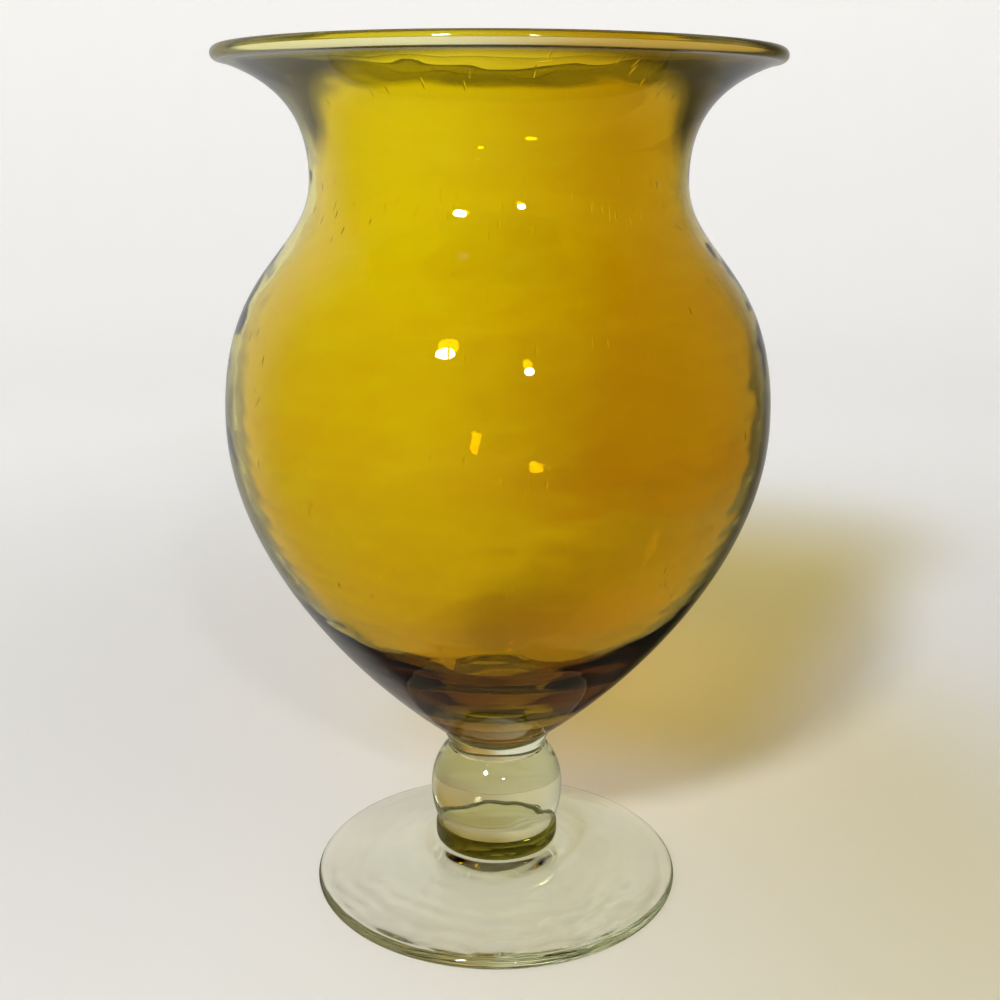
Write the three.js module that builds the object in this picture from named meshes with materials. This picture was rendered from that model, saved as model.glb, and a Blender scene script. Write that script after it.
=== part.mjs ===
import * as THREE from 'three';

// A hand-blown amber globe vase on a clear glass stem and foot.
// Millimetres, +Z up, origin at the centre of the plane that the foot stands on.
// Every piece is turned about the vase's axis, from an outline of radius and height
// measured from the piece's own lower seat.

// Flat facets around the axis, along a long curve, along a shorter one and along a rounded edge.
const aroundSteps = 60;
const longSteps = 14;
const middleSteps = 9;
const roundingSteps = 3;

// Foot: a clear disc with a rounded edge, hollow underneath, that rises to the stem.
const footRadius = 65.5;
const footEdgeThickness = 4.6;
const footCentreHeight = 15.4;
const footSeatRadius = 22.6;
const footRimSlope = 7;
const footCentreSlope = 21;
const standWidth = 7;
const hollowHeight = 5.2;
const pontilRadius = 9;

// Button: the flat bead of clear glass between the foot and the ball.
const buttonHeight = 6.8;
const buttonRadius = 22.1;
const buttonEdgeRounding = 1.2;

// Ball knop: solid clear glass, flattened where it was joined above and below.
const ballRadius = 23.7;
const ballLowerHeight = 13.3;
const ballUpperHeight = 16.1;
const ballLowerSeatRadius = 20.8;
const ballUpperSeatRadius = 17.6;

// Collar: the short clear ring that carries the bowl.
const collarHeight = 6.9;
const collarBallSeatRadius = 16.8;

// Bowl: radii outside the glass, rises above the bowl's seat on the collar.
const bowlHeight = 231.5;
const bowlSeatRadius = 19.2;
const bowlSeatSlope = 38;
const globeRadius = 90.8;
const globeRise = 114.5;
const neckRadius = 61.2;
const neckRise = 192.7;
const lipRadius = 90.3;
const lipSlope = 18;

// Glass thickness of the bowl at the globe, at the neck and through the solid bottom.
const globeWall = 3.0;
const neckWall = 2.5;
const bottomThickness = 17.5;

// How far each stretch of the bowl's outline keeps to its end directions before it bends.
const baseReach = 33.7;
const globeLowerReach = 48;
const globeUpperReach = 51.5;
const neckLowerReach = 25.5;
const neckUpperReach = 18;
const lipReach = 19;
const innerNeckReach = 26.4;
const innerLipReach = 9.9;
const innerGlobeLowerReach = 40;
const innerBottomReach = 54;

// The lip's round bead, and where the flare's two faces meet it, in degrees from straight out.
const beadRadius = 2.2;
const beadUnderAngle = -100;
const beadInnerAngle = 210;
const innerLipSlope = 20.4;

// Heights of the seats, stacked from the ground.
const buttonLevel = footCentreHeight;
const ballLevel = buttonLevel + buttonHeight;
const collarLevel = ballLevel + ballLowerHeight + ballUpperHeight;
const bowlLevel = collarLevel + collarHeight;

const amberGlass = new THREE.MeshStandardMaterial({ color: 0xc9a60c, roughness: 0.04, metalness: 0 });
const clearGlass = new THREE.MeshStandardMaterial({ color: 0xe3e5da, roughness: 0.04, metalness: 0 });

const at = (radius, height) => new THREE.Vector2(radius, height);

// The point that lies a reach away from another, along an angle above the horizontal.
function along(point, reach, degrees) {
  const angle = THREE.MathUtils.degToRad(degrees);
  return at(point.x + reach * Math.cos(angle), point.y + reach * Math.sin(angle));
}

// The point straight above another, or below it where the rise is negative.
const above = (point, rise) => at(point.x, point.y + rise);

const line = (from, to) => ({ curve: new THREE.LineCurve(from, to), steps: 1 });

const bend = (from, leaving, arriving, to, steps) => ({
  curve: new THREE.CubicBezierCurve(from, leaving, arriving, to),
  steps,
});

const arc = (centre, reachOut, reachUp, from, to, steps) => ({
  curve: new THREE.EllipseCurve(centre.x, centre.y, reachOut, reachUp, from, to, false, 0),
  steps,
});

// An outline runs from the axis out and back to the axis, each stretch starting where the last ended.
function outline(stretches) {
  const points = [stretches[0].curve.getPoint(0)];
  for (const { curve, steps } of stretches) {
    points.push(...curve.getPoints(steps).slice(1));
  }
  return points;
}

function turned(name, points, material, level) {
  const geometry = new THREE.LatheGeometry(points, aroundSteps);
  geometry.rotateX(Math.PI / 2);
  const mesh = new THREE.Mesh(geometry, material);
  mesh.name = name;
  mesh.position.z = level;
  return mesh;
}

// The foot's edge is a half round; the flat ring beside it is what the vase stands on.
function footOutline() {
  const edgeRounding = footEdgeThickness / 2;
  const edgeCentre = at(footRadius - edgeRounding, edgeRounding);
  const edgeTop = above(edgeCentre, edgeRounding);
  const standInner = at(edgeCentre.x - standWidth, 0);
  const pontilEdge = at(pontilRadius, hollowHeight);
  const hollowMiddle = (standInner.x + pontilRadius) / 2;
  const seat = at(footSeatRadius, footCentreHeight);
  const topReach = (edgeTop.x - seat.x) / 3;
  return outline([
    line(at(0, hollowHeight), pontilEdge),
    bend(pontilEdge, at(hollowMiddle, hollowHeight), at(hollowMiddle, 0), standInner, middleSteps),
    line(standInner, at(edgeCentre.x, 0)),
    arc(edgeCentre, edgeRounding, edgeRounding, -Math.PI / 2, Math.PI / 2, roundingSteps * 2),
    bend(
      edgeTop, along(edgeTop, topReach, 180 - footRimSlope),
      along(seat, topReach, -footCentreSlope), seat, middleSteps,
    ),
    line(seat, at(0, footCentreHeight)),
  ]);
}

// The button's side swells a little between its two seats.
function buttonOutline() {
  const low = at(buttonRadius - buttonEdgeRounding, 0);
  const high = above(low, buttonHeight);
  const middle = at(buttonRadius, buttonHeight / 2);
  const sideReach = buttonHeight / 4;
  return outline([
    line(at(0, 0), low),
    bend(low, at(middle.x, low.y), above(middle, -sideReach), middle, roundingSteps),
    bend(middle, above(middle, sideReach), at(middle.x, high.y), high, roundingSteps),
    line(high, at(0, high.y)),
  ]);
}

// Each half of the ball is the stretch of an ellipse between its widest ring and its seat.
function ballOutline() {
  const widest = at(0, ballLowerHeight);
  const lowerAngle = Math.acos(ballLowerSeatRadius / ballRadius);
  const upperAngle = Math.acos(ballUpperSeatRadius / ballRadius);
  const lowerReach = ballLowerHeight / Math.sin(lowerAngle);
  const upperReach = ballUpperHeight / Math.sin(upperAngle);
  const top = above(widest, ballUpperHeight);
  return outline([
    line(at(0, 0), at(ballLowerSeatRadius, 0)),
    arc(widest, ballRadius, lowerReach, -lowerAngle, 0, roundingSteps * 2),
    arc(widest, ballRadius, upperReach, 0, upperAngle, roundingSteps * 2),
    line(at(ballUpperSeatRadius, top.y), top),
  ]);
}

function collarOutline() {
  const low = at(collarBallSeatRadius, 0);
  const high = at(bowlSeatRadius, collarHeight);
  const sideReach = collarHeight / 3;
  return outline([
    line(at(0, 0), low),
    bend(low, above(low, sideReach), above(high, -sideReach), high, roundingSteps),
    line(high, at(0, collarHeight)),
  ]);
}

// The bowl's outline goes up the outside, over the lip and down the inside to the solid bottom.
function bowlOutline() {
  const seat = at(bowlSeatRadius, 0);
  const globe = at(globeRadius, globeRise);
  const neck = at(neckRadius, neckRise);
  const bead = at(lipRadius - beadRadius, bowlHeight - beadRadius);
  const lipUnder = along(bead, beadRadius, beadUnderAngle);
  const lipInner = along(bead, beadRadius, beadInnerAngle);
  const underAngle = THREE.MathUtils.degToRad(beadUnderAngle);
  const innerAngle = THREE.MathUtils.degToRad(beadInnerAngle);
  const innerNeck = at(neckRadius - neckWall, neckRise);
  const innerGlobe = at(globeRadius - globeWall, globeRise);
  const innerBottom = at(0, bottomThickness);
  const innerBottomEdge = at(innerBottomReach, bottomThickness);
  return outline([
    line(at(0, 0), seat),
    bend(seat, along(seat, baseReach, bowlSeatSlope), above(globe, -globeLowerReach), globe, longSteps),
    bend(globe, above(globe, globeUpperReach), above(neck, -neckLowerReach), neck, middleSteps),
    bend(neck, above(neck, neckUpperReach), along(lipUnder, -lipReach, lipSlope), lipUnder, middleSteps),
    arc(bead, beadRadius, beadRadius, underAngle, 0, roundingSteps),
    arc(bead, beadRadius, beadRadius, 0, Math.PI / 2, roundingSteps),
    arc(bead, beadRadius, beadRadius, Math.PI / 2, innerAngle, roundingSteps),
    bend(
      lipInner, along(lipInner, -innerLipReach, innerLipSlope),
      above(innerNeck, innerNeckReach), innerNeck, middleSteps,
    ),
    bend(
      innerNeck, above(innerNeck, -neckLowerReach),
      above(innerGlobe, globeUpperReach), innerGlobe, middleSteps,
    ),
    bend(
      innerGlobe, above(innerGlobe, -innerGlobeLowerReach),
      innerBottomEdge, innerBottom, longSteps,
    ),
  ]);
}

const vase = new THREE.Group();
vase.add(turned('foot', footOutline(), clearGlass, 0));
vase.add(turned('button', buttonOutline(), clearGlass, buttonLevel));
vase.add(turned('ball_knop', ballOutline(), clearGlass, ballLevel));
vase.add(turned('collar', collarOutline(), clearGlass, collarLevel));
vase.add(turned('bowl', bowlOutline(), amberGlass, bowlLevel));

export default vase;
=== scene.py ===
import bpy
import numpy as np
from mathutils import Matrix, Vector


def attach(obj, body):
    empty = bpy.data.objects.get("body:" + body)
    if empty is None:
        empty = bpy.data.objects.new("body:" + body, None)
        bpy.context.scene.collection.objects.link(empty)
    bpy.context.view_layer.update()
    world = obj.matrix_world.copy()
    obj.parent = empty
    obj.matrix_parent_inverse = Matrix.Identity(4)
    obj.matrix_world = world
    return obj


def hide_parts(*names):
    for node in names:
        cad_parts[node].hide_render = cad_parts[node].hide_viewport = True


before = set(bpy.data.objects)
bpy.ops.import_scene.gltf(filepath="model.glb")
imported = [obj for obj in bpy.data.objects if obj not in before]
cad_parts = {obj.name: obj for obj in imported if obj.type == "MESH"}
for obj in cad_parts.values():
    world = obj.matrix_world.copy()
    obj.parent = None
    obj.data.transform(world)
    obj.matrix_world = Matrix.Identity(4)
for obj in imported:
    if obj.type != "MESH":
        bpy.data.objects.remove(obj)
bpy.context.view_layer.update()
print("frame loaded")

mm = 0.001
scene = bpy.context.scene

# The photograph's viewpoint: a phone about 45 cm away, a little below the height of the mouth.
cameraSetup = {
    "lens": 48.24, "sensor": 36,  # mm
    "place": (0.0008, -0.44735, 0.26297),
    "pitch": 15.1,  # degrees below the horizon
    "roll": 0.256,
    "nearest": 0.01, "farthest": 50,  # metres
}
camera = bpy.data.objects.new("camera", bpy.data.cameras.new("camera"))
scene.collection.objects.link(camera)
camera.data.lens = cameraSetup["lens"]
camera.data.sensor_width = cameraSetup["sensor"]
camera.data.clip_start = cameraSetup["nearest"]
camera.data.clip_end = cameraSetup["farthest"]
camera.matrix_world = (
    Matrix.Translation(cameraSetup["place"])
    @ Matrix.Rotation(np.radians(90 - cameraSetup["pitch"]), 4, "X")
    @ Matrix.Rotation(np.radians(cameraSetup["roll"]), 4, "Z")
)
scene.camera = camera
print("camera placed")


# A cubic curve through p0 and p3 with the handles p1 and p2, in even steps of its parameter, without its first point.
def bend(p0, p1, p2, p3, count):
    t = np.linspace(0, 1, count + 1)[1:, None]
    p0, p1, p2, p3 = (np.array(p, float) for p in (p0, p1, p2, p3))
    return (1 - t) ** 3 * p0 + 3 * t * (1 - t) ** 2 * p1 + 3 * t**2 * (1 - t) * p2 + t**3 * p3


# Even steps along a straight line, without its first point.
def straight(p0, p1, count):
    t = np.linspace(0, 1, count + 1)[1:, None]
    return np.array(p0, float) * (1 - t) + np.array(p1, float) * t


# Points on an ellipse from one angle to another, without the first one.
def ellipse(centre, reachOut, reachUp, start, end, count):
    a = np.linspace(start, end, count + 1)[1:]
    return np.stack([centre[0] + reachOut * np.cos(a), centre[1] + reachUp * np.sin(a)], 1)


# The point that lies a reach away from another, at an angle above the horizontal.
def along(point, reach, degrees):
    a = np.radians(degrees)
    return (point[0] + reach * np.cos(a), point[1] + reach * np.sin(a))


around = 240  # faces round the axis
sharpest = 32  # degrees between two faces that still look smooth


# A closed surface of revolution: the outline (radius, height) in mm starts and ends on the axis and turns round it.
# x = r(u) cos(v), y = r(u) sin(v), z = h(u).
# Each mask has one value for every stretch between two outline points and becomes a face attribute.
def turned(name, outline, masks, material):
    r, h = outline[1:-1, 0], outline[1:-1, 1]
    v = np.linspace(0, 2 * np.pi, around, endpoint=False)
    rings = len(r)
    radius = np.repeat(r[:, None], around, 1)
    height = np.repeat(h[:, None], around, 1)
    ring = np.stack([radius * np.cos(v), radius * np.sin(v), height], 2).reshape(-1, 3)
    points = np.vstack([ring, [0, 0, h[0]], [0, 0, h[-1]]])

    here = np.arange(around)
    there = (here + 1) % around
    row = np.arange(rings - 1)[:, None] * around
    quads = np.stack([row + here, row + there, row + around + there, row + around + here], 2).reshape(-1, 4)
    bottom = np.stack([np.full(around, rings * around), there, here], 1)
    end = (rings - 1) * around
    top = np.stack([np.full(around, rings * around + 1), end + here, end + there], 1)
    loops = np.concatenate([quads.ravel(), bottom.ravel(), top.ravel()])
    totals = np.concatenate([np.full(len(quads), 4), np.full(2 * around, 3)])
    starts = np.concatenate([[0], np.cumsum(totals)[:-1]])

    mesh = bpy.data.meshes.new(name)
    mesh.vertices.add(len(points))
    mesh.vertices.foreach_set("co", (points * mm).astype(np.float32).ravel())
    mesh.loops.add(len(loops))
    mesh.loops.foreach_set("vertex_index", loops.astype(np.int32))
    mesh.polygons.add(len(totals))
    mesh.polygons.foreach_set("loop_start", starts.astype(np.int32))
    mesh.polygons.foreach_set("loop_total", totals.astype(np.int32))
    mesh.update(calc_edges=True)
    mesh.polygons.foreach_set("use_smooth", np.ones(len(totals), bool))
    for key, mask in masks.items():
        ends = [np.full(around, mask[0]), np.full(around, mask[-1])]
        layer = mesh.attributes.new(key, "FLOAT", "FACE")
        layer.data.foreach_set("value", np.concatenate([np.repeat(mask[1:-1], around), *ends]).astype(np.float32))
    mesh.materials.append(material)
    mesh.set_sharp_from_angle(angle=np.radians(sharpest))
    mesh.validate()
    piece = bpy.data.objects.new(name, mesh)
    scene.collection.objects.link(piece)
    return piece


# Joins stretches into one outline. Each is its points and what its faces are: "fused" where they are melted to the next
# piece of glass, or else how much of the colour they carry, from 0 to 1.
def outlineOf(start, stretches):
    points = np.vstack([[start]] + [p for p, _ in stretches])
    masks = {
        "fused": [np.full(len(p), kind == "fused") for p, kind in stretches],
        "coat": [np.zeros(len(p)) if isinstance(kind, str) else np.full(len(p), 1.0) * kind for p, kind in stretches],
    }
    return points, {key: np.concatenate(parts) for key, parts in masks.items()}


nodeRow = {"length": 8, "across": 220, "down": 340}  # how nodes are laid out in the editor


# Adds a node. An input that is given another node's output is linked to it, and any other is set.
def node(tree, kind, inputs=(), **settings):
    made = tree.nodes.new(kind)
    row, column = divmod(len(tree.nodes) - 1, nodeRow["length"])
    made.location = (column * nodeRow["across"], -row * nodeRow["down"])
    for key, value in settings.items():
        setattr(made, key, value)
    for key, value in dict(inputs).items():
        if isinstance(value, bpy.types.NodeSocket):
            tree.links.new(value, made.inputs[key])
        else:
            made.inputs[key].default_value = value
    return made


def maths(tree, operation, *values):
    return node(tree, "ShaderNodeMath", enumerate(values), operation=operation).outputs[0]


def vectors(tree, operation, *values):
    made = node(tree, "ShaderNodeVectorMath", enumerate(values), operation=operation)
    return made.outputs["Value" if operation in ("LENGTH", "DOT_PRODUCT") else "Vector"]


def scaled(tree, vector, factor):
    return node(tree, "ShaderNodeVectorMath", {0: vector, "Scale": factor}, operation="SCALE").outputs["Vector"]


# Runs from the first result to the second while the value goes from the span's start to its end, and stays there.
def ramp(tree, value, span, results=(0, 1), smooth=True):
    keys = ("Value", "From Min", "From Max", "To Min", "To Max")
    inputs = dict(zip(keys, (value, *span, *results)))
    kind = "SMOOTHSTEP" if smooth else "LINEAR"
    return node(tree, "ShaderNodeMapRange", inputs, interpolation_type=kind).outputs["Result"]


def mixed(tree, factor, first, second, kind="RGBA", **settings):
    inputs = {"Factor": factor, "A": first, "B": second}
    return node(tree, "ShaderNodeMix", inputs, data_type=kind, **settings).outputs["Result"]


def metres(lengths):
    return [length * mm for length in lengths]


white, black = (1, 1, 1, 1), (0, 0, 0, 1)

surface = {
    "fineWaves": 3,  # to each slow one
    "scratches": (9, 28, 0), "scratchSize": 0.05,  # cells to a radian round the axis and to a metre of height
    "unscratched": 0.55,  # share of the cells that go without
    "rings": 900, "ringDrift": 12,  # radians to a metre from the axis, and how far the slow waves shift them
    "middle": 0.65,  # the mean height
}


# A slow waviness left by blowing and turning, as a height. Offset moves the pattern, so that the inside differs from
# the outside.
def blownSurface():
    group = bpy.data.node_groups.new("blown surface", "ShaderNodeTree")
    for key in ("Waves", "Flatness", "Fine", "Flecks", "Rings", "Offset"):
        group.interface.new_socket(key, in_out="INPUT", socket_type="NodeSocketFloat")
    group.interface.new_socket("Height", in_out="OUTPUT", socket_type="NodeSocketFloat")
    given = node(group, "NodeGroupInput").outputs
    place = node(group, "ShaderNodeTexCoord").outputs["Object"]
    upright = node(group, "ShaderNodeCombineXYZ", {"X": 1, "Y": 1, "Z": given["Flatness"]}).outputs[0]
    moved = vectors(group, "ADD", vectors(group, "MULTIPLY", place, upright), given["Offset"])
    slow = node(group, "ShaderNodeTexNoise", {"Vector": moved, "Scale": given["Waves"], "Detail": 1}).outputs["Fac"]
    often = maths(group, "MULTIPLY", given["Waves"], surface["fineWaves"])
    quick = node(group, "ShaderNodeTexNoise", {"Vector": moved, "Scale": often, "Detail": 0}).outputs["Fac"]
    total = maths(group, "ADD", slow, maths(group, "MULTIPLY", quick, given["Fine"]))
    # short scratches down the surface, on the angle round the axis and the height
    parts = node(group, "ShaderNodeSeparateXYZ", {0: place}).outputs
    turn = maths(group, "ARCTAN2", parts["X"], maths(group, "MULTIPLY", parts["Y"], -1))
    chart = node(group, "ShaderNodeCombineXYZ", {"X": turn, "Y": parts["Z"]}).outputs[0]
    grid = vectors(group, "MULTIPLY_ADD", chart, surface["scratches"], given["Offset"])
    cells = node(group, "ShaderNodeTexVoronoi", {"Vector": grid, "Scale": 1}, voronoi_dimensions="2D").outputs
    mark = ramp(group, cells["Distance"], (0, surface["scratchSize"]), (1, 0))
    nick = maths(group, "MULTIPLY", mark, maths(group, "GREATER_THAN", cells["Color"], surface["unscratched"]))
    nicked = maths(group, "MULTIPLY_ADD", nick, given["Flecks"], total)
    # faint rings round the axis, left by turning, that come and go with the waves
    radius = vectors(group, "LENGTH", vectors(group, "MULTIPLY", place, (1, 1, 0)))
    drift = maths(group, "MULTIPLY", slow, surface["ringDrift"])
    swell = maths(group, "SINE", maths(group, "MULTIPLY_ADD", radius, surface["rings"], drift))
    height = maths(group, "MULTIPLY_ADD", maths(group, "MULTIPLY", swell, quick), given["Rings"], nicked)
    node(group, "NodeGroupOutput", {"Height": height})
    return group


blown = blownSurface()


# Polished glass. Where two pieces were melted together their meeting faces bend nothing, so light runs on as through
# one body.
def glass(name, ior, upper, lower, levels, onlyOutside, shadow, outline, rim, caustics, absorption, waves):
    material = bpy.data.materials.new(name)
    material.use_nodes = True
    tree = material.node_tree
    tree.nodes.clear()
    seam = node(tree, "ShaderNodeAttribute", attribute_name="fused").outputs["Fac"]
    coat = node(tree, "ShaderNodeAttribute", attribute_name="coat").outputs["Fac"]
    facing = node(tree, "ShaderNodeLayerWeight").outputs["Facing"]
    rays = node(tree, "ShaderNodeLightPath").outputs
    place = node(tree, "ShaderNodeTexCoord").outputs["Object"]
    height = node(tree, "ShaderNodeSeparateXYZ", {0: place}).outputs["Z"]
    flare = ramp(tree, height, metres(rim["above"]))

    # the waves of the two faces, calmer on the flare
    given = {
        "Waves": waves["count"], "Flatness": waves["flatness"], "Fine": waves["fine"], "Flecks": waves["flecks"],
        "Rings": waves["rings"], "Offset": maths(tree, "CEIL", coat),
    }
    skin = node(tree, "ShaderNodeGroup", given, node_tree=blown).outputs["Height"]
    calm = ramp(tree, flare, (0, 1), (1, waves["onFlare"]), smooth=False)
    relief = {"Strength": 1, "Distance": waves["height"] * mm, "Height": maths(tree, "MULTIPLY", skin, calm)}
    normal = node(tree, "ShaderNodeBump", relief).outputs["Normal"]

    # the colour lies in a skin on the coated faces, deepens downwards and is thicker and thinner in soft bands
    depth = ramp(tree, height, metres(levels))
    bands = maths(tree, "SUBTRACT", skin, surface["middle"])
    banded = maths(tree, "MULTIPLY_ADD", bands, waves["mottle"], depth)
    hue = mixed(tree, banded, (*lower, 1), (*upper, 1))
    amount = coat
    if onlyOutside:
        amount = maths(tree, "SUBTRACT", coat, node(tree, "ShaderNodeNewGeometry").outputs["Backfacing"])
    tint = mixed(tree, amount, white, hue)

    # painted shade: near its outline the glass's colour turns dark, on the body below the neck and on the flare,
    # standing in for the dark room that the flanks show
    below = ramp(tree, height, metres(rim["below"]), (1, rim["between"]))
    base = ramp(tree, height, metres(rim["bottom"]), (rim["least"], 1))
    where = maths(tree, "MAXIMUM", maths(tree, "MULTIPLY", below, base), flare)
    steep = ramp(tree, maths(tree, "MULTIPLY_ADD", flare, rim["flare"], facing), rim["facing"])
    paintedEdgeShade = maths(tree, "MULTIPLY", maths(tree, "MULTIPLY", where, rim["strength"]), steep)
    shader = node(tree, "ShaderNodeBsdfPrincipled", {
        "Base Color": mixed(tree, paintedEdgeShade, tint, black), "Roughness": 0, "Transmission Weight": 1, "IOR": ior,
        "Specular Tint": tint,  # what is mirrored on the coated face has passed the skin twice
        "Normal": normal,
    })
    bending = ramp(tree, seam, (0, 1), (ior, 1), smooth=False)
    tree.links.new(bending, shader.inputs["IOR"])

    # light on its way to a lamp goes straight through, so the vase throws a tinted shadow with darker outlines, and the
    # waves gather that light into faint bright lines
    dark = ramp(tree, facing, outline[:2], outline[2:])
    veil = mixed(tree, coat, white, (*shadow, 1))
    shade = mixed(tree, 1, veil, dark, blend_type="MULTIPLY")
    gather = ramp(tree, skin, waves["gather"][:2], waves["gather"][2:], smooth=False)
    through = node(tree, "ShaderNodeBsdfTransparent", {"Color": scaled(tree, shade, gather)}).outputs[0]
    diffuse = 0 if caustics else rays["Is Diffuse Ray"]
    body = node(tree, "ShaderNodeMixShader", {0: diffuse, 1: shader.outputs[0], 2: through}).outputs[0]
    both = node(tree, "ShaderNodeMixShader", {0: rays["Is Shadow Ray"], 1: body, 2: through}).outputs[0]
    density = max(absorption)
    dimming = {"Density": density, "Color": [1 - a / density for a in absorption] + [1]}
    inside = node(tree, "ShaderNodeVolumeAbsorption", dimming).outputs[0]
    node(tree, "ShaderNodeOutputMaterial", {"Surface": both, "Volume": inside})
    return material


# upper and lower: what the coloured skin lets through, as shares squared, above and below the two levels in mm
# onlyOutside: the skin counts just for light that comes in through it
# shadow, outline: the shadow's colour, and how it darkens from one facing to another
# rim: the painted dark outline, shade that stands in for a dark room: its start and end in facing, and the heights in
# mm where it is there, weak or away
# absorption: how strongly the body dims red, green and blue, per metre
# waves: counted per metre, their height in mm; gather: how unevenly they let light through
amber = {
    "ior": 1.51, "upper": (0.95, 0.74, 0.004), "lower": (0.91, 0.585, 0.002), "levels": (110, 270),
    "onlyOutside": False, "shadow": (0.42, 0.34, 0.03), "outline": (0.5, 0.95, 1, 0.55), "caustics": True,
    "rim": {
        "facing": (0.69, 0.8), "flare": 0.16, "bottom": (80, 118), "least": 0.25, "below": (180, 212),
        "above": (250, 268), "between": 0, "strength": 0.93,
    },
    "absorption": (20, 30, 170),
    "waves": {
        "count": 26, "flatness": 2.6, "fine": 0.35, "flecks": 0.2, "rings": 0, "height": 0.32, "onFlare": 0.3,
        "mottle": 1.5, "gather": (0, 1, 1, 1),
    },
}
clear = {
    "ior": 1.51, "upper": (0.97, 0.97, 0.95), "lower": (0.98, 0.98, 0.96), "levels": (18, 34),
    "onlyOutside": False, "shadow": (1, 1, 0.97), "outline": (0.6, 0.97, 1, 0.75), "caustics": False,
    "rim": {
        "facing": (0.7, 1), "flare": 0, "bottom": (0, 1), "least": 1, "below": (0, 1), "above": (400, 401),
        "between": 0.5, "strength": 0.2,
    },
    "absorption": (4, 4, 12),
    "waves": {
        "count": 40, "flatness": 1, "fine": 0.3, "flecks": 0, "rings": 0.2, "height": 0.25, "onFlare": 1,
        "mottle": 0, "gather": (0.5, 1, 0.94, 1.03),
    },
}
pale = {**clear, "absorption": (3, 2.5, 6)}  # the foot, seen edge on through its whole width
# the button: clear glass with a dark olive skin on its outside, a little of it the green of thick clear glass and the
# rest painted shade and amber light that it shows
shadedButton = {
    **clear, "upper": (0.085, 0.066, 0.002), "lower": (0.085, 0.066, 0.002), "onlyOutside": True,
    "shadow": (0.8, 0.8, 0.5), "rim": {**clear["rim"], "strength": 0.4}, "absorption": (5, 5, 16),
    "waves": {**clear["waves"], "count": 60, "fine": 0.4, "height": 0.35, "gather": (0, 1, 1, 1)},
}
amberGlass = glass("amber glass", **amber)
clearGlass = glass("clear glass", **clear)
paleGlass = glass("pale glass", **pale)
shadedButtonGlass = glass("olive glass with painted shade", **shadedButton)
print("glass mixed")

seamGap = 0.02  # mm between two fused faces, so that they never lie in one plane
levels = {"button": 15.4, "ball": 22.2, "collar": 51.6, "bowl": 58.5}  # mm above the ground

foot = {
    "radius": 65.5, "edge": 4.2, "lift": 0.4,  # the edge's thickness and its height above the ground
    "centre": 15.4, "seat": 22.6, "joint": 20.9, "rimSlope": 7, "centreSlope": 21, "stand": 7, "hollow": 5.2,
    "pontil": 9, "steps": (6, 60, 16, 24, 60, 2, 8),  # faces along each stretch of the outline
}


def footOutline():
    n = foot["steps"]
    e = foot["edge"] / 2
    edgeX = foot["radius"] - e
    edgeZ = foot["lift"] + e
    standX = edgeX - foot["stand"]
    standMiddle = foot["stand"] / 2
    pontil = (foot["pontil"], foot["hollow"])
    middle = (standX + foot["pontil"]) / 2
    seat, joint = (foot["seat"], foot["centre"]), (foot["joint"], foot["centre"])
    edgeLow, edgeTop = (edgeX, foot["lift"]), (edgeX, edgeZ + e)
    reach = (edgeX - foot["seat"]) / 3
    leaving = along(edgeTop, reach, 180 - foot["rimSlope"])
    arriving = along(seat, reach, -foot["centreSlope"])
    return outlineOf((0, foot["hollow"]), [
        (straight((0, foot["hollow"]), pontil, n[0]), 1),
        (bend(pontil, (middle, foot["hollow"]), (middle, 0), (standX, 0), n[1]), 1),
        (bend((standX, 0), (standX + standMiddle, 0), (edgeX - standMiddle, foot["lift"]), edgeLow, n[2]), 1),
        (ellipse((edgeX, edgeZ), e, e, -np.pi / 2, np.pi / 2, n[3]), 1),
        (bend(edgeTop, leaving, arriving, seat, n[4]), 1),
        (straight(seat, joint, n[5]), 1),
        (straight(joint, (0, foot["centre"]), n[6]), "fused"),
    ])


button = {"radius": 22.1, "seat": 20.9, "ballJoint": 20.8, "steps": (8, 14, 14, 1, 8)}


def buttonOutline():
    n = button["steps"]
    z = levels["button"] + seamGap
    top = levels["ball"]
    mid = (button["radius"], (z + top) / 2)
    reach = (top - z) / 4
    low, high, joint = (button["seat"], z), (button["seat"], top), (button["ballJoint"], top)
    return outlineOf((0, z), [
        (straight((0, z), low, n[0]), "fused"),
        (bend(low, (mid[0], z), (mid[0], mid[1] - reach), mid, n[1]), 1),
        (bend(mid, (mid[0], mid[1] + reach), (mid[0], top), high, n[2]), 1),
        (straight(high, joint, n[3]), 1),
        (straight(joint, (0, top), n[4]), "fused"),
    ])


ball = {
    "radius": 23.7, "lower": 13.3, "lowerSeat": 20.8, "upperSeat": 17.6, "collarJoint": 16.8,
    "steps": (8, 40, 48, 1, 8),
}


def ballOutline():
    n = ball["steps"]
    z = levels["ball"] + seamGap
    top = levels["collar"]
    widest = levels["ball"] + ball["lower"]
    lowerAngle = np.arccos(ball["lowerSeat"] / ball["radius"])
    upperAngle = np.arccos(ball["upperSeat"] / ball["radius"])
    lowerReach = (widest - z) / np.sin(lowerAngle)
    upperReach = (top - widest) / np.sin(upperAngle)
    joint = (ball["collarJoint"], top)
    return outlineOf((0, z), [
        (straight((0, z), (ball["lowerSeat"], z), n[0]), "fused"),
        (ellipse((0, widest), ball["radius"], lowerReach, -lowerAngle, 0, n[1]), 1),
        (ellipse((0, widest), ball["radius"], upperReach, 0, upperAngle, n[2]), 1),
        (straight((ball["upperSeat"], top), joint, n[3]), 1),
        (straight(joint, (0, top), n[4]), "fused"),
    ])


collar = {"low": 16.8, "high": 19.2, "steps": (8, 24, 8)}


def collarOutline():
    n = collar["steps"]
    z = levels["collar"] + seamGap
    top = levels["bowl"]
    reach = (top - z) / 3
    low, high = (collar["low"], z), (collar["high"], top)
    return outlineOf((0, z), [
        (straight((0, z), low, n[0]), "fused"),
        (bend(low, (low[0], z + reach), (high[0], top - reach), high, n[1]), 1),
        (straight(high, (0, top), n[2]), "fused"),
    ])


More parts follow.
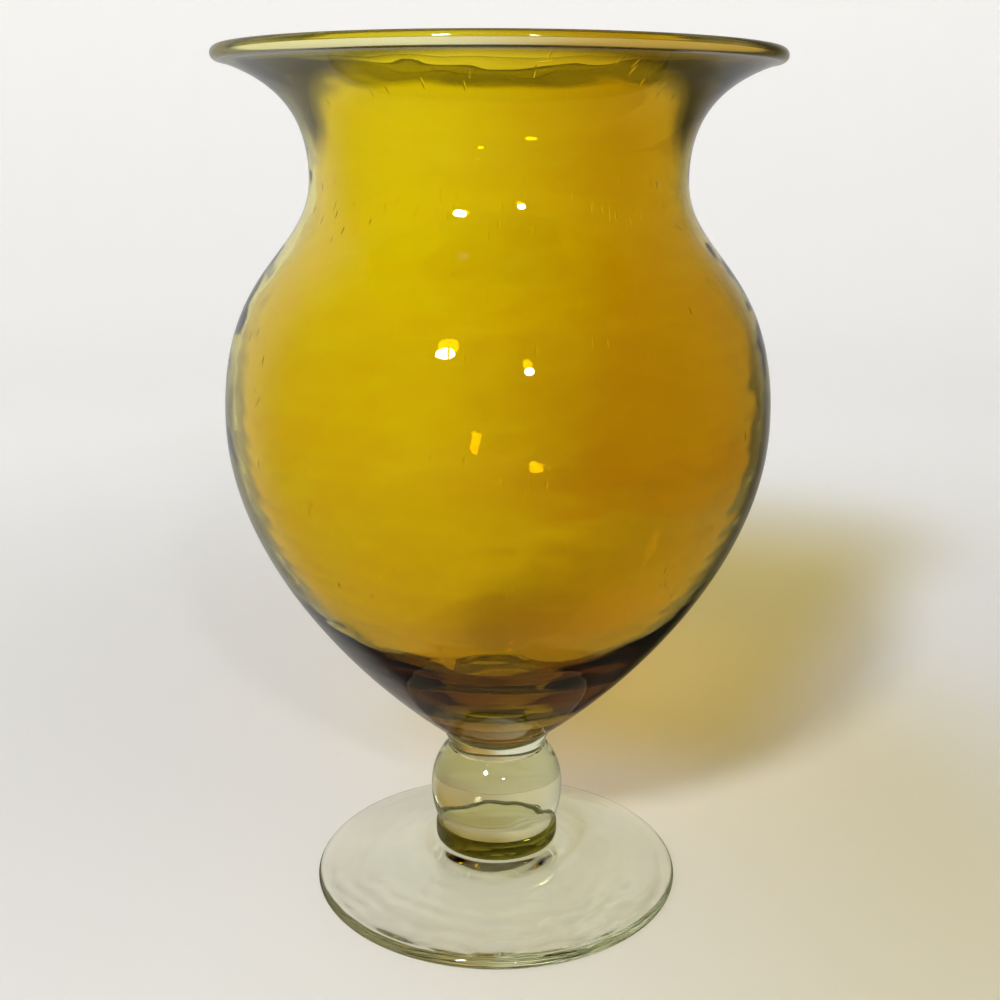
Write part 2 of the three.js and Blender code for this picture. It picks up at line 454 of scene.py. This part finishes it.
bowl = {
    "height": 231.5, "seat": 19.2, "seatSlope": 38, "globe": 90.8, "globeRise": 114.5, "neck": 61.2, "neckRise": 192.7,
    "lip": 90.3, "lipSlope": 18, "globeWall": 3.0, "neckWall": 2.5, "bottom": 17.5,
    "bead": 2.2, "beadUnder": -100, "beadInner": 210,  # the rolled lip: its radius, and where it joins, in degrees
    "fade": 0.06,  # share of the flare's inner bend over which the colour comes in below the clear lip
    "baseReach": 33.7, "globeLower": 48, "globeUpper": 51.5, "neckLower": 25.5, "neckUpper": 18, "lipReach": 19,
    "innerNeckUpper": 26.4, "innerLipReach": 9.9, "innerLipSlope": 20.4, "innerGlobeLower": 40, "innerBottom": 54,
    "steps": (8, 80, 56, 42, 32, 42, 56, 72),
}


def bowlOutline():
    b = bowl
    n = b["steps"]
    z = levels["bowl"]
    floor = z + b["bottom"]
    seat = (b["seat"], z + seamGap)
    globe = (b["globe"], z + b["globeRise"])
    neck = (b["neck"], z + b["neckRise"])
    bead = (b["lip"] - b["bead"], z + b["height"] - b["bead"])
    under = along(bead, b["bead"], b["beadUnder"])
    inner = along(bead, b["bead"], b["beadInner"])
    start, end = np.radians((b["beadUnder"], b["beadInner"]))
    innerNeck = (neck[0] - b["neckWall"], neck[1])
    innerGlobe = (globe[0] - b["globeWall"], globe[1])
    fading = np.clip(np.linspace(0, 1, n[5]) / b["fade"], 0, 1)
    leaving = along(seat, b["baseReach"], b["seatSlope"])
    arriving = along(under, -b["lipReach"], b["lipSlope"])
    innerLeaving = along(inner, -b["innerLipReach"], b["innerLipSlope"])
    return outlineOf((0, z + seamGap), [
        (straight((0, z + seamGap), seat, n[0]), "fused"),
        (bend(seat, leaving, (globe[0], globe[1] - b["globeLower"]), globe, n[1]), 0),
        (bend(globe, (globe[0], globe[1] + b["globeUpper"]), (neck[0], neck[1] - b["neckLower"]), neck, n[2]), 0),
        (bend(neck, (neck[0], neck[1] + b["neckUpper"]), arriving, under, n[3]), 0),
        (ellipse(bead, b["bead"], b["bead"], start, end, n[4]), 0),
        (bend(inner, innerLeaving, (innerNeck[0], neck[1] + b["innerNeckUpper"]), innerNeck, n[5]), fading),
        (bend(
            innerNeck, (innerNeck[0], neck[1] - b["neckLower"]),
            (innerGlobe[0], globe[1] + b["globeUpper"]), innerGlobe, n[6],
        ), 1),
        (bend(
            innerGlobe, (innerGlobe[0], globe[1] - b["innerGlobeLower"]), (b["innerBottom"], floor), (0, floor), n[7],
        ), 1),
    ])


pieces = {
    "footGlass": ("foot", footOutline(), paleGlass, "clear_glass"),
    "buttonGlass": ("button", buttonOutline(), shadedButtonGlass, "clear_glass"),
    "ballGlass": ("ball_knop", ballOutline(), clearGlass, "clear_glass"),
    "collarGlass": ("collar", collarOutline(), clearGlass, "clear_glass"),
    "bowlGlass": ("bowl", bowlOutline(), amberGlass, "amber_glass"),
}
for name, (cadNode, (outline, masks), material, slot) in pieces.items():
    piece = turned(name, outline, masks, material)
    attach(piece, "root")
    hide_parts(cadNode)
    print(name, "made")

studio = {
    "floorColour": (0.80, 0.79, 0.77), "level": -0.05,  # mm
    # metres: the flat floor's rings, where it bends up, the bend's radius, the wall's height; faces round and up it
    "rings": (0.4, 0.9), "floorReach": 1.3, "bendReach": 0.5, "wallHeight": 2.2, "around": 128, "bendSteps": 16,
    "brightSide": (-0.34, 0.94, 0),  # behind the vase and to its left, the rest is dimmer
    # how strongly the wall glows on its dim and bright side, between which shares of that side, and from which distance
    "glow": (0.10, 0.30), "glowSide": (-0.3, 0.95), "glowFrom": (0.05, 0.9),
    "mirrored": (0.05, 0.55), "mirroredSide": (0.3, 0.85),  # how much of the dim and bright side the glass mirrors
    "seenThrough": 0.3, "seenSide": (0.45, 0.85), "seenFrom": (0.25, 0.6),  # share of the dim side that it lets through
    "trapped": 0.7,  # how much of that dimming is left for light that was thrown back inside the glass
    # painted reflection: shares that the body mirrors of the floor under its foot and around it, and the distances
    # where these end
    "underFoot": 0.24, "footEnds": (0.062, 0.072), "aroundFoot": 0.1, "aroundEnds": (0.08, 0.15),
    # a painted warm shadow that the glass shows behind the vase on the right: from and to a share of x, its colour
    "warmSide": (-0.12, 0.16), "warm": (0.64, 0.44, 0.16),
    # painted shade and shadow that make the floor warmer: from and to an x, its colour, how much of it lies around the
    # shadow, and up to which distance
    "paintedShadeSide": (-0.12, 0.2), "paintedShadeColour": (0.81, 0.71, 0.34), "paintedShadeAround": 0.6, "paintedShadeEnds": (0.16, 0.36),
    # the painted warm pool inside the shadow: half its width, and the distances where it starts and ends
    "shadowWidth": (0.04, 0.13), "shadowStarts": (0.04, 0.16), "shadowEnds": (0.36, 0.62),
    "world": 0.05, "worldColour": (0.97, 0.98, 1, 1), "bounces": {"mirrored": 12, "through": 16, "all": 20},
}
lamps = {  # place, point it faces, width, watts, spread in degrees
    "key": ((-0.52, -1.22, 1.07), (0, 0, 0.12), 0.2, 16.5, 170),
    "spark": ((0.3, -1.3, 0.8), (0, 0, 0.15), 0.1, 3.6, 170),
}


# A round floor that bends up into a wall, with its profile (distance, height) carried round the axis.
def floorMesh():
    count = studio["around"]
    v = np.linspace(0, 2 * np.pi, count, endpoint=False)
    a = np.linspace(0, np.pi / 2, studio["bendSteps"])
    reach, radius = studio["floorReach"], studio["bendReach"]
    flat = np.stack([studio["rings"], (0, 0)], 1)
    curved = np.stack([reach + radius * np.sin(a), radius * (1 - np.cos(a))], 1)
    profile = np.vstack([flat, curved, [[reach + radius, studio["wallHeight"]]]])
    sides = (profile[:, :1] * np.cos(v), profile[:, :1] * np.sin(v), profile[:, 1:] + 0 * v)
    points = np.stack(sides, 2).reshape(-1, 3)
    points[:, 2] += studio["level"] * mm
    row = np.arange(len(profile) - 1)[:, None] * count
    here = np.arange(count)
    there = (here + 1) % count
    quads = np.stack([row + here, row + there, row + count + there, row + count + here], 2).reshape(-1, 4)
    mesh = bpy.data.meshes.new("floor")
    mesh.from_pydata(points.tolist(), [], quads.tolist() + [list(range(count - 1, -1, -1))])
    mesh.polygons.foreach_set("use_smooth", np.ones(len(mesh.polygons), bool))
    return mesh


# Pale matt paper that glows a little far from the vase, a painted glow that stands in for light falling on it. What the
# glass shows of it is painted dimmer than what the eye sees, as in a room that is bright on one side only, and it
# carries a painted warm shadow.
def paleFloor():
    material = bpy.data.materials.new("pale paper")
    material.use_nodes = True
    tree = material.node_tree
    tree.nodes.clear()
    place = node(tree, "ShaderNodeTexCoord").outputs["Object"]
    rays = node(tree, "ShaderNodeLightPath").outputs
    level = vectors(tree, "MULTIPLY", place, (1, 1, 0))
    away = vectors(tree, "LENGTH", level)
    ahead = vectors(tree, "NORMALIZE", level)
    side = vectors(tree, "DOT_PRODUCT", ahead, studio["brightSide"])

    # painted shade: what glass lets through is dimmer on the dim side, and carries a painted warm shadow on the right
    across = node(tree, "ShaderNodeSeparateXYZ", {0: ahead}).outputs["X"]
    shaded = mixed(tree, ramp(tree, across, studio["warmSide"]), white, (*studio["warm"], 1))
    past = scaled(tree, shaded, ramp(tree, side, studio["seenSide"], (studio["seenThrough"], 1)))
    bounced = maths(tree, "MINIMUM", rays["Glossy Depth"], 1)
    bent = maths(tree, "MULTIPLY", ramp(tree, away, studio["seenFrom"]), rays["Is Transmission Ray"])
    dimmed = maths(tree, "MULTIPLY", bent, ramp(tree, bounced, (0, 1), (1, studio["trapped"]), smooth=False))
    seen = mixed(tree, dimmed, white, past)

    # painted reflection: what it mirrors is the bright side, and little of the floor under the foot and close around it
    near = ramp(tree, away, studio["aroundEnds"], (studio["aroundFoot"], 0))
    most = maths(tree, "MAXIMUM", near, ramp(tree, side, studio["mirroredSide"], studio["mirrored"]))
    mirrored = maths(tree, "MULTIPLY", rays["Is Glossy Ray"], rays["Is Reflection Ray"])
    under = ramp(tree, away, studio["footEnds"], (studio["underFoot"], 1))
    keep = scaled(tree, mixed(tree, mirrored, seen, most), mixed(tree, bounced, 1, under, kind="FLOAT"))

    # painted shade and shadow: the floor's colour turns warmer on the right, and most of all in a painted pool inside
    # the shadow, which runs straight away from the key lamp
    right = ramp(tree, node(tree, "ShaderNodeSeparateXYZ", {0: place}).outputs["X"], studio["paintedShadeSide"])
    spread = maths(tree, "MULTIPLY", right, ramp(tree, away, studio["paintedShadeEnds"], (1, 0)))
    faint = maths(tree, "MULTIPLY", spread, studio["paintedShadeAround"])
    fall = Vector((-lamps["key"][0][0], -lamps["key"][0][1], 0)).normalized()
    lengthwise = vectors(tree, "DOT_PRODUCT", place, fall)
    sideways = maths(tree, "ABSOLUTE", vectors(tree, "DOT_PRODUCT", place, (fall.y, -fall.x, 0)))
    starts = ramp(tree, lengthwise, studio["shadowStarts"])
    ends = ramp(tree, lengthwise, studio["shadowEnds"], (1, 0))
    core = ramp(tree, sideways, studio["shadowWidth"], (1, 0))
    paintedShadowPool = maths(tree, "MULTIPLY", maths(tree, "MULTIPLY", starts, ends), core)
    paintedShadeColour = mixed(tree, maths(tree, "MAXIMUM", faint, paintedShadowPool), white, (*studio["paintedShadeColour"], 1))
    withPaintedShade = vectors(tree, "MULTIPLY", keep, paintedShadeColour)

    glowing = ramp(tree, side, studio["glowSide"], studio["glow"])
    glow = maths(tree, "MULTIPLY", ramp(tree, away, studio["glowFrom"]), glowing)
    lit = node(tree, "ShaderNodeEmission", {"Color": withPaintedShade, "Strength": glow}).outputs[0]
    albedo = vectors(tree, "MULTIPLY", studio["floorColour"], withPaintedShade)
    matt = node(tree, "ShaderNodeBsdfDiffuse", {"Color": albedo}).outputs[0]
    both = node(tree, "ShaderNodeAddShader", {0: matt, 1: lit}).outputs[0]
    node(tree, "ShaderNodeOutputMaterial", {"Surface": both})
    return material


floor = bpy.data.objects.new("floor", floorMesh())
scene.collection.objects.link(floor)
floor.data.materials.append(paleFloor())
for name, (place, target, width, watts, spread) in lamps.items():
    data = bpy.data.lights.new(name, "AREA")
    data.shape = "DISK"
    data.size, data.energy = width, watts
    data.spread = np.radians(spread)
    lamp = bpy.data.objects.new(name, data)
    lamp.location = place
    lamp.rotation_euler = (Vector(target) - Vector(place)).to_track_quat("-Z", "Y").to_euler()
    scene.collection.objects.link(lamp)

world = bpy.data.worlds.new("world")
scene.world = world
world.use_nodes = True
tree = world.node_tree
sky = tree.nodes["Background"]
sky.inputs["Color"].default_value = studio["worldColour"]
# painted reflection: the glass mirrors a far darker sky than the eye sees
rays = node(tree, "ShaderNodeLightPath").outputs
mirrored = maths(tree, "MULTIPLY", rays["Is Glossy Ray"], rays["Is Reflection Ray"])
dimmer = (studio["world"], studio["world"] * studio["mirrored"][0])
tree.links.new(ramp(tree, mirrored, (0, 1), dimmer, smooth=False), sky.inputs["Strength"])
scene.view_settings.view_transform = "Standard"
# light runs round inside the thick glass many times before it comes out
scene.cycles.glossy_bounces = studio["bounces"]["mirrored"]
scene.cycles.transmission_bounces = studio["bounces"]["through"]
scene.cycles.max_bounces = studio["bounces"]["all"]
print("studio lit")
